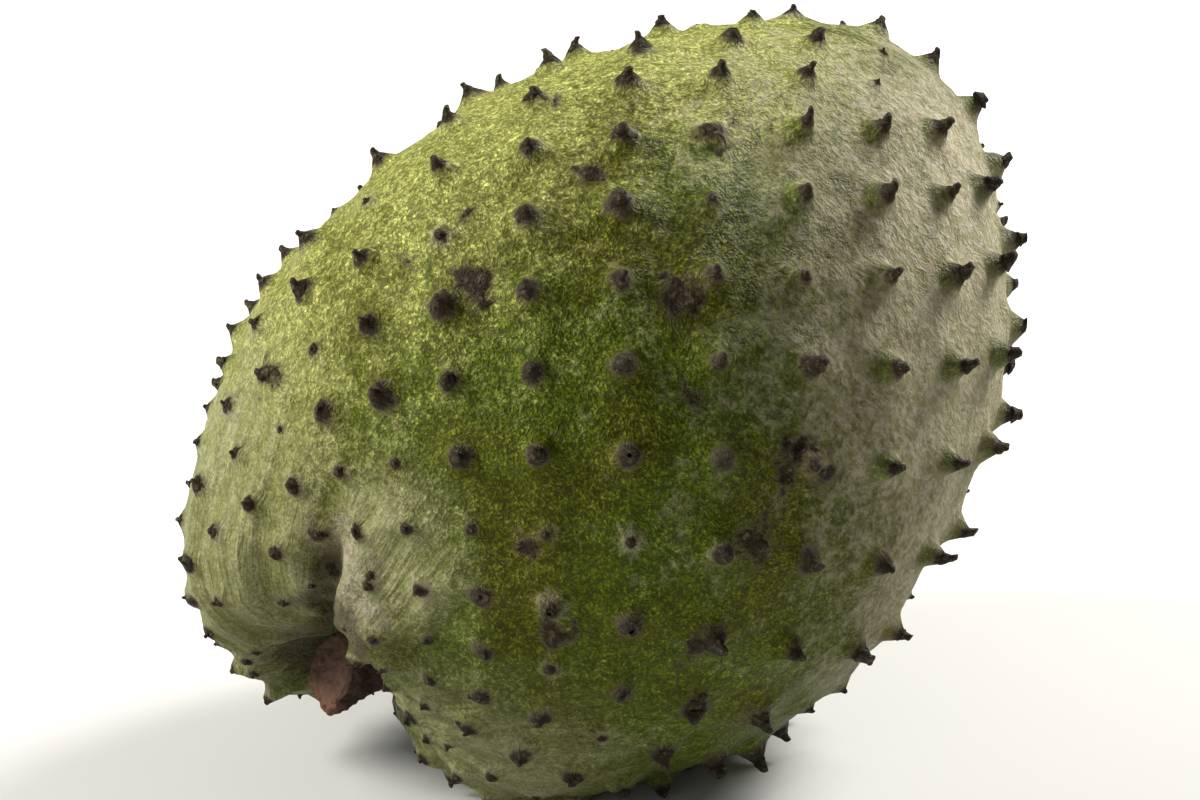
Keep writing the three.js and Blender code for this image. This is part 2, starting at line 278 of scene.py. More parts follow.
def write_points(mesh, points):
    """Moves a mesh's corners."""
    mesh.vertices.foreach_set("co", points.astype(np.float32).ravel())
    mesh.update()


def paint(mesh, name, values):
    """Keeps one number for each corner, for the materials to read."""
    layer = mesh.attributes.new(name, "FLOAT", "POINT")
    layer.data.foreach_set("value", values.astype(np.float32))


def paint_vectors(mesh, name, vectors):
    """Keeps one vector for each corner, for the materials to read."""
    layer = mesh.attributes.new(name, "FLOAT_VECTOR", "POINT")
    layer.data.foreach_set("vector", vectors.astype(np.float32).ravel())


def select_only(*pieces):
    """Selects these pieces, and makes the first the active one."""
    bpy.ops.object.select_all(action="DESELECT")
    for piece in pieces:
        piece.select_set(True)
    bpy.context.view_layer.objects.active = pieces[0]


def smooth_shade(piece):
    select_only(piece)
    bpy.ops.object.shade_smooth()


def apply_modifier(piece, modifier):
    select_only(piece)
    bpy.ops.object.modifier_apply(modifier=modifier.name)


def copy_of_node(node, name):
    """A new piece with the CAD node's shape, its loose triangles joined."""
    piece = bpy.data.objects.new(name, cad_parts[node].data.copy())
    piece.data.name = name
    piece.data.materials.clear()
    bpy.context.scene.collection.objects.link(piece)
    select_only(piece)
    bpy.ops.object.mode_set(mode="EDIT")
    bpy.ops.mesh.select_all(action="SELECT")
    bpy.ops.mesh.remove_doubles(threshold=MM / 1000)
    bpy.ops.object.mode_set(mode="OBJECT")
    return piece


def subdivide(piece, levels):
    """Rounds the piece off."""
    modifier = piece.modifiers.new("Rounding", "SUBSURF")
    modifier.levels = levels
    modifier.render_levels = levels
    apply_modifier(piece, modifier)


def displace(piece, texture_kind, size, depth, group):
    """Raises and lowers the surface by a procedural texture, depth from bottom to top."""
    texture = bpy.data.textures.new(f"{piece.name} {texture_kind.lower()}", texture_kind)
    texture.noise_scale = size
    modifier = piece.modifiers.new(texture.name, "DISPLACE")
    modifier.texture = texture
    modifier.texture_coords = "LOCAL"
    modifier.strength = depth
    modifier.mid_level = 0.5
    modifier.vertex_group = group
    apply_modifier(piece, modifier)


def weigh(piece, name, weights):
    """A vertex group from one weight for each corner, rounded to a twentieth."""
    group = piece.vertex_groups.new(name=name)
    steps = 20
    level = np.clip(np.round(weights * steps), 0, steps).astype(int)
    for step in range(1, steps + 1):
        corners = np.flatnonzero(level == step)
        if len(corners):
            group.add(corners.tolist(), step / steps, "REPLACE")
    return group.name


def smoothstep(low, high, values):
    """How far each value is from low to high, from 0 to 1, eased at both ends."""
    share = np.clip((values - low) / (high - low), 0, 1)
    return share * share * (3 - 2 * share)


def units_of(points):
    """The unit vector from the fruit's middle to each point."""
    units = points - np.array(HEART)
    return units / np.linalg.norm(units, axis=1)[:, None]


def polar(points):
    """Angle from the stem end, and angle round from the front side, of each point."""
    units = units_of(points)
    from_stem = np.degrees(np.arccos(np.clip(-units @ np.array(AXIS), -1, 1)))
    around = np.degrees(np.arctan2(units @ np.array(UPPER), units @ np.array(FRONT)))
    return from_stem, around


def direction(from_stem, around):
    """The unit vector from the fruit's middle to a place on its rind."""
    out = math.sin(math.radians(from_stem))
    turn = math.radians(around)
    return (
        -AXIS * math.cos(math.radians(from_stem))
        + FRONT * (out * math.cos(turn))
        + UPPER * (out * math.sin(turn))
    )


def towards_stem(points):
    """How far each point lies on the stem's side of the fruit's middle."""
    return -(points - np.array(HEART)) @ np.array(AXIS)


def tree_of(points):
    """The points, ready to be found by their places."""
    tree = kdtree.KDTree(len(points))
    for index, point in enumerate(points):
        tree.insert(point, index)
    tree.balance()
    return tree


# ---- The rind ---------------------------------------------------------------------------


def fullness(height, most=1.2):
    """How well grown a spine of some height is, 1 being full."""
    return min(height / FULL_HEIGHT, most)


def find_spines(mesh):
    """Tip, axis and height of each spine: corners that stand clear of those joined to them.
    The height is taken as twice the rise of the tip over the middle of those corners."""
    points = read_points(mesh)
    normals = read_points(mesh, "normal")
    edges = np.empty(len(mesh.edges) * 2, np.int32)
    mesh.edges.foreach_get("vertices", edges)
    edges = edges.reshape(-1, 2)
    total = np.zeros_like(points)
    reach = np.zeros(len(points))
    count = np.zeros(len(points))
    length = np.linalg.norm(points[edges[:, 0]] - points[edges[:, 1]], axis=1)
    for here, there in ((0, 1), (1, 0)):
        np.add.at(total, edges[:, here], points[edges[:, there]])
        np.add.at(reach, edges[:, here], length)
        np.add.at(count, edges[:, here], 1)
    rise = ((points - total / count[:, None]) * normals).sum(1)
    reach /= count
    tips = np.flatnonzero((rise > STEEPNESS * reach) & (reach < LONGEST_REACH))
    return [(points[tip], normals[tip], 2 * rise[tip]) for tip in tips]


def raise_flares(piece, spines, share):
    """Raises the foot of each spine, hollows its flank a little, and returns the corner at
    each spine's top."""
    least_width = 1.1
    width_growth = 1.5  # millimetres, like the least width
    pointedness = 1.3  # 2 would make a round flare
    flank_radius = 3.3 * MM
    flank_width = 1.1 * MM
    flank_depth = 0.12  # of the spine's height
    points = read_points(piece.data)
    tree = tree_of(points)
    moved = points.copy()
    tops = []
    for place, axis, height in spines:
        flare_width = (least_width + width_growth * fullness(height)) * MM
        for _, index, _ in tree.find_range(place, 4 * flare_width):
            offset = points[index] - place
            out = np.linalg.norm(offset - axis * (offset @ axis))
            rise = share * math.exp(-((out / flare_width) ** pointedness))
            rise -= flank_depth * math.exp(-(((out - flank_radius) / flank_width) ** 2))
            moved[index] += axis * (height * rise)
        tops.append(tree.find(place)[1])
    write_points(piece.data, moved)
    return tops


def stand_on(mesh, spines, tops):
    """The spines with their places moved to the corners at their tops."""
    points = read_points(mesh)
    return [(points[top], axis, height) for top, (_, axis, height) in zip(tops, spines)]


def dark_radius_of(full, dull, rng):
    """Radius of a spine's dark top, which is smaller where the bloom and painted sheen lie."""
    least = 0.7
    growth = 2.3  # millimetres, like the least radius
    return (least + growth * full) * MM * rng.uniform(0.75, 1.25) * (1.15 - 0.45 * dull)


def mark_spines(points, spines):
    """How near each corner is to a spine's dark top, its pale foot and its mossy flank, and
    the way out from the nearest spine."""
    rng = np.random.default_rng(7)
    tree = tree_of(points)
    dark = np.zeros(len(points))
    foot = np.zeros(len(points))
    moss = np.zeros(len(points))
    spoke = np.zeros((len(points), 3))
    nearest = np.full(len(points), np.inf)
    mossy_side = np.array(UPPER) - np.array(AXIS)
    mossy_side /= np.linalg.norm(mossy_side)
    foot_radius = 7 * MM
    least_radius = 0.01 * MM
    bloomed_and_sheened = zone(np.array([place for place, _, _ in spines]), BLOOM_AND_SHEEN_PLACES)
    for (place, axis, height), dull in zip(spines, bloomed_and_sheened):
        full = fullness(height)
        dark_radius = dark_radius_of(full, dull, rng)
        pale = rng.uniform(0.3, 1)
        for _, index, _ in tree.find_range(place, foot_radius):
            offset = points[index] - place
            out = offset - axis * (offset @ axis)
            radius = np.linalg.norm(out) + least_radius
            near = 1 - radius / foot_radius
            side = max(0, 0.5 + 0.5 * (out @ mossy_side) / radius)
            dark[index] = max(dark[index], 1 - radius / dark_radius)
            foot[index] = max(foot[index], pale * near)
            moss[index] = max(moss[index], near * side * full)
            if radius < nearest[index]:
                nearest[index] = radius
                spoke[index] = out
    return dark, foot, moss, spoke


def scab_places(points, spines):
    """Centre, radius and strength of each scab, on the nearest spine where it reaches one."""
    spine_tree = tree_of([place for place, _, _ in spines])
    units = units_of(points)
    for from_stem, around, radius, strength in SCABS:
        centre = points[np.argmax(units @ np.array(direction(from_stem, around)))]
        spine, _, gap = spine_tree.find(centre)
        if gap < radius:
            centre = np.array(spine)
        yield centre, radius, strength


def mark_scabs(points, scabs):
    """How scabbed the rind is at each corner."""
    lump = 3 * MM
    mark = np.zeros(len(points))
    tree = tree_of(points)
    for centre, radius, strength in scabs:
        for place, index, away in tree.find_range(centre, 1.5 * radius):
            ragged = 1 + 0.9 * noise.fractal(place / lump, 1, 2, 3)
            mark[index] = max(mark[index], strength * (1 - away * ragged / radius))
    return mark


def hollow_of(points):
    """How deep each corner lies between those round it, in the crease and round the stalk."""
    reach = 14 * MM
    deepest = 5 * MM
    farthest = 50  # degrees from the stem
    radius = np.linalg.norm(points - np.array(HEART), axis=1)
    tree = tree_of(points)
    from_stem, _ = polar(points)
    hollow = np.zeros(len(points))
    for index in np.flatnonzero(from_stem < farthest):
        near = [other for _, other, _ in tree.find_range(points[index], reach)]
        hollow[index] = (radius[near].mean() - radius[index]) / deepest
    # The shoulder beyond the crease doesn't count.
    return hollow * (1 - smoothstep(26, 44, from_stem))


def fold_towards_stem(piece, depth):
    """Fine folds in the rind that run together at the stem."""
    points = read_points(piece.data)
    normals = read_points(piece.data, "normal")
    from_stem, around = polar(points)
    # They begin round the stalk and fade out over the shoulder.
    strength = smoothstep(6, 14, from_stem) * (1 - smoothstep(25, 60, from_stem))
    folds_round = 7
    fold_length = 30  # degrees
    for index in np.flatnonzero(strength > 0):
        turn = math.radians(around[index])
        along = from_stem[index] / fold_length
        place = Vector((folds_round * math.cos(turn), folds_round * math.sin(turn), along))
        fold = noise.noise(place)
        points[index] += normals[index] * fold * depth * strength[index]
    write_points(piece.data, points)


def deepen_hollows(piece, depth):
    """Sinks the bottom of the crease, and of the hollow round the stalk."""
    points = read_points(piece.data)
    normals = read_points(piece.data, "normal")
    hollow = np.empty(len(points), np.float32)
    piece.data.attributes["hollow"].data.foreach_get("value", hollow)
    points -= normals * (depth * smoothstep(0.15, 0.55, hollow))[:, None]
    write_points(piece.data, points)


def keep_inside(piece, box):
    """Holds the piece inside a box, so that no tip reaches past the frame."""
    points = read_points(piece.data)
    write_points(piece.data, np.clip(points, np.array(box[0]), np.array(box[1])))


def flow_of(points):
    """Coordinates that follow the lines from the stem to the nose."""
    from_stem, around = polar(points)
    turn = np.radians(around)
    return np.stack([np.cos(turn), np.sin(turn), from_stem / 180], axis=1)


def zone(points, places):
    """How far each corner lies in the nearest of some zones, from 0 to 1."""
    units = units_of(points)
    share = np.zeros(len(points))
    for from_stem, around, spread in places:
        away = np.degrees(np.arccos(np.clip(units @ np.array(direction(from_stem, around)), -1, 1)))
        share = np.maximum(share, np.exp(-((away / spread) ** 2)))
    return share


def roughen_rind(rind, dark, scab, settings):
    """Makes the rind uneven, but for its spines and where it lies on the ground."""
    clear_of_spines = 1 - np.clip(dark * 1.6, 0, 1)
    above_ground = smoothstep(0.3 * MM, 4 * MM, read_points(rind.data)[:, 2])
    soft_rind = weigh(rind, "soft rind", above_ground * clear_of_spines)
    scabs = weigh(rind, "scabs", np.clip(scab * 2, 0, 1) * above_ground)
    displace(rind, "CLOUDS", 16 * MM, settings.swell, soft_rind)
    displace(rind, "CLOUDS", 6 * MM, settings.dimple, soft_rind)
    displace(rind, "CLOUDS", 2.2 * MM, settings.pebble, soft_rind)
    displace(rind, "STUCCI", 1.8 * MM, settings.crust, scabs)
    fold_towards_stem(rind, settings.fold)
    deepen_hollows(rind, settings.crease)
    keep_inside(rind, CAD_BOX)
    rind.vertex_groups.clear()


def make_rind(settings):
    """The rind, and with it its spines and its scabs."""
    rind = copy_of_node("fruit", "rind")
    spines = find_spines(rind.data)
    paint(rind.data, "hollow", hollow_of(read_points(rind.data)))
    subdivide(rind, 2)
    tops = raise_flares(rind, spines, settings.flare)
    spines = stand_on(rind.data, spines, tops)
    points = read_points(rind.data)
    dark, foot, moss, spoke = mark_spines(points, spines)
    scabs = list(scab_places(points, spines))
    scab = mark_scabs(points, scabs)
    roughen_rind(rind, dark, scab, settings)
    marks = {"spine": dark, "foot": foot, "moss": moss, "scab": scab}
    for name, places in ZONES.items():
        marks[name] = zone(points, places)
    for name, values in marks.items():
        paint(rind.data, name, values)
    paint_vectors(rind.data, "flow", flow_of(points))
    paint_vectors(rind.data, "spoke", spoke)
    smooth_shade(rind)
    return rind, stand_on(rind.data, spines, tops), scabs


# ---- The woody tips of the spines -------------------------------------------------------


def model_tip():
    """One woody tip, a unit high and a unit in radius at its foot, standing on the origin."""
    bpy.ops.object.select_all(action="DESELECT")
    bpy.ops.mesh.primitive_cone_add(
        vertices=8, radius1=1, radius2=0.55, depth=1, location=(0, 0, 0.5), end_fill_type="TRIFAN"
    )
    tip = bpy.context.object
    bpy.ops.object.transform_apply(location=True)
    bpy.ops.object.mode_set(mode="EDIT")
    for height in TIP_HEIGHTS[1:-1]:
        bpy.ops.mesh.select_all(action="SELECT")
        bpy.ops.mesh.bisect(plane_co=(0, 0, height), plane_no=(0, 0, 1))
    bpy.ops.object.mode_set(mode="OBJECT")
    return tip


def lean_of_tip(axis, reach, rng):
    """Which way and how far a tip leans over: mostly to the nose and upwards."""
    lean = np.array(AXIS) * 0.6 + np.array(UPPER) * 0.25 + rng.normal(size=3) * 0.6
    lean -= axis * (lean @ axis)
    return lean * (reach * rng.uniform(0.3, 1.3) / np.linalg.norm(lean))


def sides_of(axis):
    """Two unit vectors square to an axis and to each other."""
    side = np.cross(axis, (1, 0, 0) if abs(axis[0]) < 0.9 else (0, 1, 0))
    side /= np.linalg.norm(side)
    return side, np.cross(axis, side)


def grow_tip(mesh, spine, broken, settings, rng):
    """Turns the mesh of a unit tip into one spine's own: gnarled, leaning and in its place."""
    top, axis, height = spine
    points = read_points(mesh)
    along = points[:, 2].copy()
    girth = 0.12 + 0.88 * fullness(height, 1.25)
    radius = settings.foot_radius * girth * rng.uniform(0.85, 1.15)
    length = settings.length * height * rng.uniform(0.85, 1.2)
    if broken:
        radius *= 1.25
        length *= 0.85
    widening = np.interp(along, TIP_HEIGHTS, TIP_WIDENINGS)
    gnarls = rng.uniform(0.8, 1.22, len(points))
    across = points[:, :2] * (widening * gnarls * radius)[:, None]
    # The middle of the top stands a little higher than its rim.
    middle = (np.abs(points[:, 0]) + np.abs(points[:, 1])) < 0.01
    rise = along + rng.uniform(-0.08, 0.08, len(points)) + 0.1 * (middle & (along > 0.5))
    lean = lean_of_tip(axis, settings.hook * length, rng)
    curl = 1.7  # 1 would make a straight tip
    sunk = 0.6 * settings.length * height
    side, other = sides_of(axis)
    root = top - axis * sunk
    placed = root + np.outer(across[:, 0], side) + np.outer(across[:, 1], other)
    placed += np.outer(rise * length, axis) + np.outer(np.clip(along, 0, 1) ** curl, lean)
    write_points(mesh, placed)


def make_tips(spines, scabs, settings):
    """The woody tips of all the spines, as one piece."""
    rng = np.random.default_rng(11)
    pattern = model_tip()
    scab_tree = tree_of([centre for centre, _, _ in scabs])
    lowest = 1.5 * MM
    broken_share = 0.12
    tips = []
    for spine in spines:
        if spine[0][2] < lowest:
            continue
        tip = pattern.copy()
        tip.data = pattern.data.copy()
        bpy.context.scene.collection.objects.link(tip)
        broken = scab_tree.find(spine[0])[2] < MM or rng.random() < broken_share
        grow_tip(tip.data, spine, broken, settings, rng)
        tips.append(tip)
    bpy.data.objects.remove(pattern)
    select_only(*tips)
    bpy.ops.object.join()
    joined = bpy.context.object
    joined.name = "spine_tips"
    joined.data.name = "spine_tips"
    keep_inside(joined, CAD_BOX)
    smooth_shade(joined)
    return joined


# ---- The stalk --------------------------------------------------------------------------


def widest_plane(mesh):
    """The normal of the flat face with the largest area, and its distance along it."""
    normals = np.array([face.normal for face in mesh.polygons])
    areas = np.array([face.area for face in mesh.polygons])
    least_cosine = 0.9995
    alike = normals @ normals.T > least_cosine
    widest = np.argmax(alike @ areas)
    normal = normals[widest]
    return normal, normal @ np.array(mesh.polygons[widest].center)


def crisp_edges(sharpness, crease):
    """Keeps the sharp edges of the active piece crisp when it is rounded."""
    bpy.ops.object.mode_set(mode="EDIT")
    bpy.ops.mesh.select_mode(type="EDGE")
    bpy.ops.mesh.select_all(action="DESELECT")
    bpy.ops.mesh.edges_select_sharp(sharpness=sharpness)
    bpy.ops.transform.edge_crease(value=crease)
    bpy.ops.object.mode_set(mode="OBJECT")


def sink_foot(stalk, depth):
    """Pushes the foot of the stalk into the rind."""
    points = read_points(stalk.data)
    along = towards_stem(points)
    foot = 1 - smoothstep(np.percentile(along, 20), np.percentile(along, 45), along)
    write_points(stalk.data, points + np.outer(foot * depth, np.array(AXIS)))


def make_stalk(settings):
    """The stub of the stalk, with its cut face and its end marked."""
    stalk = copy_of_node("stalk", "stalk_stub")
    cut_normal, cut_distance = widest_plane(stalk.data)
    crisp_edges(math.radians(35), 0.75)
    sink_foot(stalk, settings.sink)
    subdivide(stalk, 3)
    over_cut = read_points(stalk.data) @ cut_normal - cut_distance
    cut = smoothstep(-0.9 * MM, -0.3 * MM, over_cut)
    cut_evenness = 0.55
    bark = weigh(stalk, "bark", 1 - cut_evenness * cut)
    displace(stalk, "CLOUDS", 3 * MM, settings.grain, bark)
    displace(stalk, "STUCCI", 1.2 * MM, settings.grain, bark)
    keep_inside(stalk, CAD_BOX)
    stalk.vertex_groups.clear()
    along = towards_stem(read_points(stalk.data))
    paint(stalk.data, "end", smoothstep(along.max() - 4 * MM, along.max() - 1 * MM, along))
    paint(stalk.data, "cut", cut)
    smooth_shade(stalk)
    return stalk


# ---- Node helpers -----------------------------------------------------------------------


def fill(tree, socket, value):
    """Links a socket to an output of another node, or sets it to a value."""
    if isinstance(value, bpy.types.NodeSocket):
        tree.links.new(value, socket)
    elif socket.type == "RGBA":
        socket.default_value = (*value, 1.0)
    else:
        socket.default_value = value


def add(tree, kind, inputs=None, **settings):
    """A node with its settings made, and its sockets set or linked."""
    node = tree.nodes.new(kind)
    for name, value in settings.items():
        setattr(node, name, value)
    for name, value in (inputs or {}).items():
        fill(tree, node.inputs[name], value)
    return node


def noise_value(tree, vector, scale, detail, roughness, distortion=0.0):
    """A cloudy pattern, mostly from 0.3 to 0.7."""
    inputs = {
        "Vector": vector,
        "Scale": scale,
        "Detail": detail,
        "Roughness": roughness,
        "Distortion": distortion,
    }
    return add(tree, "ShaderNodeTexNoise", inputs).outputs["Fac"]


def span(tree, value, low, high, out_low=0.0, out_high=1.0):
    """The value's range from low to high spread smoothly over another range."""
    inputs = {
        "Value": value,
        "From Min": low,
        "From Max": high,
        "To Min": out_low,
        "To Max": out_high,
    }
    node = add(tree, "ShaderNodeMapRange", inputs, interpolation_type="SMOOTHSTEP")
    return node.outputs["Result"]


def maths(tree, operation, first, second=0.0):
    """One step of arithmetic with one value or two."""
    inputs = {0: first, 1: second}
    return add(tree, "ShaderNodeMath", inputs, operation=operation).outputs["Value"]


def product(tree, first, second):
    return maths(tree, "MULTIPLY", first, second)


def larger(tree, first, second):
    return maths(tree, "MAXIMUM", first, second)


def centred(tree, value):
    """The pattern's value with its middle moved from a half to nought."""
    return maths(tree, "SUBTRACT", value, 0.5)


def inverse(tree, value, share=1.0):
    """One less a share of the value."""
    return maths(tree, "SUBTRACT", 1.0, product(tree, value, share))


def weighted(tree, *terms):
    """The sum of some values, each times its weight."""
    total = None
    for value, weight in terms:
        term = product(tree, value, weight)
        total = term if total is None else maths(tree, "ADD", total, term)
    return total


def vector_maths(tree, operation, *vectors):
    """One step of arithmetic with up to three vectors."""
    inputs = dict(enumerate(vectors))
    return add(tree, "ShaderNodeVectorMath", inputs, operation=operation).outputs[0]


def blend_colours(tree, share, first, second, blend="MIX"):
    """A share of the second colour blended into the first."""
    inputs = {0: share, 6: first, 7: second}
    return add(tree, "ShaderNodeMix", inputs, data_type="RGBA", blend_type=blend).outputs[2]


def attribute(tree, name, output="Fac"):
    """What is painted on the piece under a name."""
    return add(tree, "ShaderNodeAttribute", attribute_name=name).outputs[output]


def object_place(tree):
    """Where on its piece each point is, in metres."""
    return add(tree, "ShaderNodeTexCoord").outputs["Object"]


def new_material(name):
    """A new material, its nodes and its Principled BSDF."""
    material = bpy.data.materials.new(name)
    material.use_nodes = True
    tree = material.node_tree
    return material, tree, tree.nodes["Principled BSDF"]


def set_surface(tree, surface, colour, roughness, specular):
    """Sets or links what the surface looks like."""
    fill(tree, surface.inputs["Base Color"], colour)
    fill(tree, surface.inputs["Roughness"], roughness)
    fill(tree, surface.inputs["Specular IOR Level"], specular)


def set_relief(tree, surface, height, strength, distance):
    """Makes the surface look uneven."""
    bump = add(tree, "ShaderNodeBump", {"Height": height, "Strength": strength, "Distance": distance})
    fill(tree, surface.inputs["Normal"], bump.outputs["Normal"])


# ---- Shared effects ---------------------------------------------------------------------


def dry_wood_group():
    """Cracked dry wood: a colour and a height."""
    group = bpy.data.node_groups.new("Dry wood", "ShaderNodeTree")
    for name, side, kind in (
        ("Vector", "INPUT", "NodeSocketVector"),
        ("Dark", "INPUT", "NodeSocketColor"),
        ("Light", "INPUT", "NodeSocketColor"),
        ("Scale", "INPUT", "NodeSocketFloat"),
        ("Color", "OUTPUT", "NodeSocketColor"),
        ("Height", "OUTPUT", "NodeSocketFloat"),
    ):
        group.interface.new_socket(name, in_out=side, socket_type=kind)
    source = add(group, "NodeGroupInput").outputs
    coarse = noise_value(group, source["Vector"], source["Scale"], 5, 0.7)
    fine = noise_value(group, source["Vector"], product(group, source["Scale"], 3.0), 3, 0.6)
    height = maths(group, "ADD", coarse, product(group, fine, 0.5))
    colour = blend_colours(group, span(group, height, 0.72, 1.1), source["Dark"], source["Light"])
    add(group, "NodeGroupOutput", {"Color": colour, "Height": height})
    return group


def dry_wood(tree, place, dark, light, scale):
    """The colour and the height of the shared dry wood, in two tones."""
    group = bpy.data.node_groups.get("Dry wood") or dry_wood_group()
    inputs = {"Vector": place, "Dark": dark, "Light": light, "Scale": scale}
    wood = add(tree, "ShaderNodeGroup", inputs, node_tree=group)
    return wood.outputs["Color"], wood.outputs["Height"]


# ---- The rind's material ----------------------------------------------------------------


def pebbles_and_web(tree, place):
    """Small domes with dark gaps between them, and a web of raised lines."""
    warp = add(tree, "ShaderNodeTexNoise", {"Vector": place, "Scale": WARP, "Detail": 1.0})
    bend = 1.6 * MM
    bent = vector_maths(tree, "MULTIPLY_ADD", warp.outputs["Color"], (bend,) * 3, place)
    pebbles = add(tree, "ShaderNodeTexVoronoi", {"Vector": bent, "Scale": PEBBLES})
    dome = span(tree, pebbles.outputs["Distance"], 0.75, 0.1)
    lines = noise_value(tree, place, WEB, 3, 0.6, 1.2)
    web = span(tree, maths(tree, "ABSOLUTE", centred(tree, lines)), 0.08, 0.0)
    return dome, web


def ribs_and_creases(tree):
    """Ribs that run from the stem to the nose, and fine creases across them."""
    flow = attribute(tree, "flow", "Vector")
    fine = noise_value(tree, vector_maths(tree, "MULTIPLY", flow, FINE_RIBS), 1.0, 4, 0.65, 0.2)
    broad = noise_value(tree, vector_maths(tree, "MULTIPLY", flow, BROAD_RIBS), 1.0, 3, 0.55, 0.3)
    creases = noise_value(tree, vector_maths(tree, "MULTIPLY", flow, CREASES), 1.0, 4, 0.58, 1.0)
    return weighted(tree, (fine, 0.5), (broad, 0.5)), creases


def spine_streaks(tree, place):
    """Streaks that run out from each spine: the same spine keeps the same streaks."""
    spoke = attribute(tree, "spoke", "Vector")
    centre = vector_maths(tree, "SUBTRACT", place, spoke)
    seed = vector_maths(tree, "MULTIPLY", centre, (STREAK_SEED,) * 3)
    outward = vector_maths(tree, "NORMALIZE", spoke)
    streaks_round = 3.5
    ray = vector_maths(tree, "MULTIPLY_ADD", outward, (streaks_round,) * 3, seed)
    return noise_value(tree, ray, 1.0, 3, 0.6)


def rind_patterns(tree, place):
    """The patterns of the rind, and the three that make its zones' edges uneven."""
    dome, web = pebbles_and_web(tree, place)
    ribs, creases = ribs_and_creases(tree)
    streaks = spine_streaks(tree, place)
    speckle = noise_value(tree, place, SPECKLE, 4, 0.7)
    mottle = noise_value(tree, place, MOTTLE, 4, 0.65)
    patches = noise_value(tree, place, PATCHES, 3, 0.6)
    ragged = weighted(tree, (centred(tree, mottle), 0.9), (centred(tree, speckle), 0.9))
    return SimpleNamespace(
        dome=dome,
        web=web,
        ribs=ribs,
        creases=creases,
        streaks=streaks,
        grain=noise_value(tree, place, GRAIN, 2, 0.6),
        speckle=speckle,
        mottle=mottle,
        patches=patches,
        ragged=ragged,
        blotchy=weighted(tree, (ragged, 0.9), (centred(tree, patches), 0.85)),
        frayed=weighted(tree, (ragged, 1.0), (centred(tree, streaks), 0.45)),
    )


def edged(tree, name, low, high, edge, amount):
    """A painted zone with an uneven edge."""
    value = maths(tree, "ADD", attribute(tree, name), product(tree, edge, amount))
    return span(tree, value, low, high)


def rind_zones(tree, patterns):
    """How much of each finish the rind has."""
    ragged = patterns.ragged
    blotchy = patterns.blotchy
    frayed = patterns.frayed
    sage = edged(tree, "sage", 0.1, 0.9, blotchy, 0.5)
    moss = edged(tree, "moss", 0.2, 0.6, ragged, 0.4)
    # the bloom zone: a real dull bloom, and partly painted sheen of the rim light
    bloom_and_sheen = product(tree, edged(tree, "bloomed_and_sheened", 0.2, 0.85, blotchy, 0.9), inverse(tree, moss, 0.8))
    # the crease takes the scar's grey-brown: its own corky colour, and painted shade at its bottom
    crease = edged(tree, "hollow", 0.3, 0.8, ragged, 0.7)
    cork = product(tree, larger(tree, crease, edged(tree, "corked", 0.3, 0.8, ragged, 1.0)), 0.8)
    scab_rim = product(tree, edged(tree, "scab", 0.1, 0.35, ragged, 0.6), 0.65)
    spine_rim = edged(tree, "spine", 0.1, 0.45, frayed, 0.9)
    scab = edged(tree, "scab", 0.36, 0.6, ragged, 0.9)
    spine = edged(tree, "spine", 0.36, 0.62, frayed, 0.7)
    return SimpleNamespace(
        sunned_and_lit=edged(tree, "sunned_and_lit", 0.2, 0.9, blotchy, 1.0),
        sage=sage,
        bloom_and_sheen=bloom_and_sheen,
        pebbly=product(tree, inverse(tree, bloom_and_sheen, 0.85), inverse(tree, sage, 0.8)),
        foot=product(tree, edged(tree, "foot", 0.4, 0.85, frayed, 0.9), 0.6),
        cork=cork,
        scarred=larger(tree, larger(tree, scab_rim, cork), spine_rim),
        woody=larger(tree, scab, spine),
    )


def skin_colour(tree, settings, patterns, zones):
    """Patches of green, yellow on the upper side where the sun bleached them and with painted key
    light, and pale ribs round the stem.
    """
    clear = span(tree, patterns.patches, 0.42, 0.62)
    colour = blend_colours(tree, clear, settings.deep_green, settings.leaf_green)
    # paler yellow on the upper side: sun-bleached, and painted key light
    colour = blend_colours(tree, zones.sunned_and_lit, colour, settings.sunned_and_lit)
    ribbed = span(tree, patterns.ribs, 0.42, 0.58)
    streaked = blend_colours(tree, ribbed, settings.sage_green, settings.sage)
    return blend_colours(tree, product(tree, zones.sage, 0.85), colour, streaked)


def paint_pebble_shade_and_glints(tree, colour, settings, patterns, zones):
    """Paints shade into the gaps between the pebbles, and paints glints on the tops of some clusters.
    """
    tone = weighted(tree, (patterns.dome, 0.3), (patterns.speckle, 0.85), (patterns.web, 0.22))
    shade = blend_colours(tree, span(tree, tone, 0.4, 0.85), PAINTED_GAP_SHADE, WHITE)
    colour = blend_colours(tree, inverse(tree, zones.sage, 0.4), colour, shade, "MULTIPLY")
    clusters = span(tree, patterns.mottle, 0.36, 0.62, 0.4, 1.0)
    gleam = product(tree, span(tree, tone, 0.78, 0.95), product(tree, zones.pebbly, clusters))
    lit = blend_colours(tree, 1.0, colour, PAINTED_GLEAM, "MULTIPLY")
    lit = blend_colours(tree, 1.0, lit, settings.painted_glint, "ADD")
    return blend_colours(tree, gleam, colour, lit)


def lay_bloom_and_sheen(tree, colour, settings, patterns, zones):
    """Lays the creased bloom, partly painted sheen of the rim light, over its zones and round the foot
    of each spine.
    """
    creases = weighted(tree, (patterns.creases, 0.75), (patterns.speckle, 0.55))
    dull = blend_colours(tree, span(tree, creases, 0.54, 0.82), settings.groove, settings.bloom_and_sheen)
    # painted sheen: the bloom made paler on the nose
    dull = blend_colours(tree, attribute(tree, "pale"), dull, PAINTED_SHEEN_LIFT, "MULTIPLY")
    return blend_colours(tree, larger(tree, zones.bloom_and_sheen, zones.foot), colour, dull)


